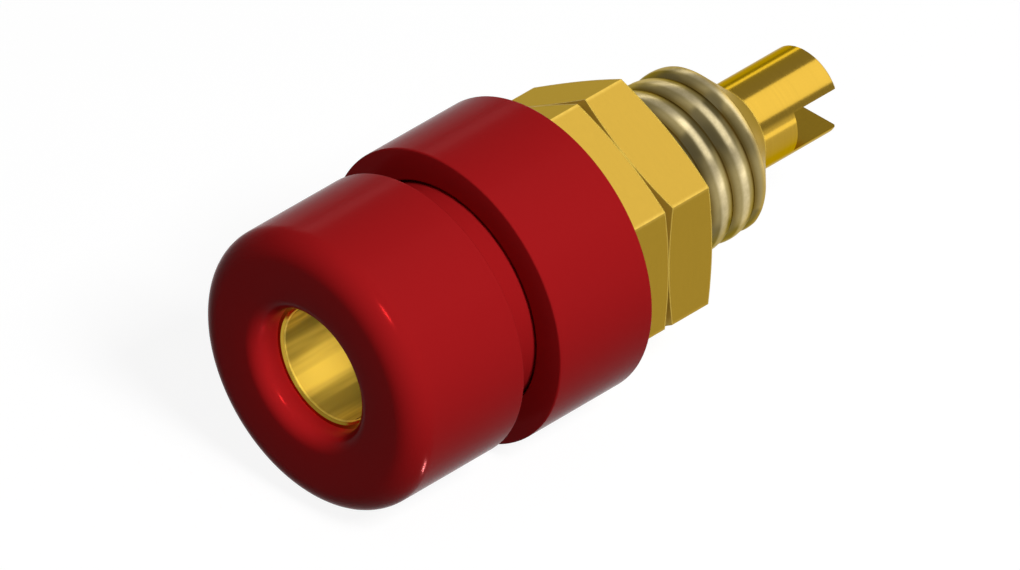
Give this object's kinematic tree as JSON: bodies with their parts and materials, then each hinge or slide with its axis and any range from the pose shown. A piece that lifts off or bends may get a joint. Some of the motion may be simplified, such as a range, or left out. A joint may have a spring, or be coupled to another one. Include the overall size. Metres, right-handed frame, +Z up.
{
  "type": "banana socket",
  "caption": "Insulated panel socket for a 4 mm banana plug: red moulded head and washer, hollow M6 stem with flat nuts and a slotted solder tail.",
  "frame": {"origin": "centre of the ring-shaped rear face of the head, which seats on the front of the panel", "axes": "+Y along the socket's axis from the nose to the solder tail, +Z up, +X to the right for someone who faces the nose"},
  "size_m": [0.0104, 0.023, 0.0104],
  "materials": {
    "red_plastic": "smooth moulded red polyamide",
    "gold_plated_brass": "turned brass with a bright gold plating"
  },
  "bodies": {
    "socket": {"insulating_head": "red_plastic", "contact_sleeve": "gold_plated_brass"},
    "washer": {"insulating_washer": "red_plastic"},
    "mounting_nut": {"mounting_nut": "gold_plated_brass"},
    "lock_nut": {"lock_nut": "gold_plated_brass"}
  },
  "joints": [
    {"name": "washer_slide", "type": "slide", "parent": "socket", "child": "washer", "axis": [0, 1, 0], "range_m": [-0.0014, 0.0035]},
    {"name": "mounting_nut_spin", "type": "hinge", "parent": "washer", "child": "mounting_nut", "pos_m": [0, 0.0066, 0], "axis": [0, 1, 0], "range_deg": [-504, 1260]},
    {"name": "lock_nut_spin", "type": "hinge", "parent": "washer", "child": "lock_nut", "pos_m": [0, 0.0086, 0], "axis": [0, 1, 0], "range_deg": [-504, 1260]}
  ],
  "couplings": [
    {"joint": "mounting_nut_spin", "follows": "washer_slide", "rad_per_m": 6283.2},
    {"joint": "lock_nut_spin", "follows": "washer_slide", "rad_per_m": 6283.2}
  ]
}
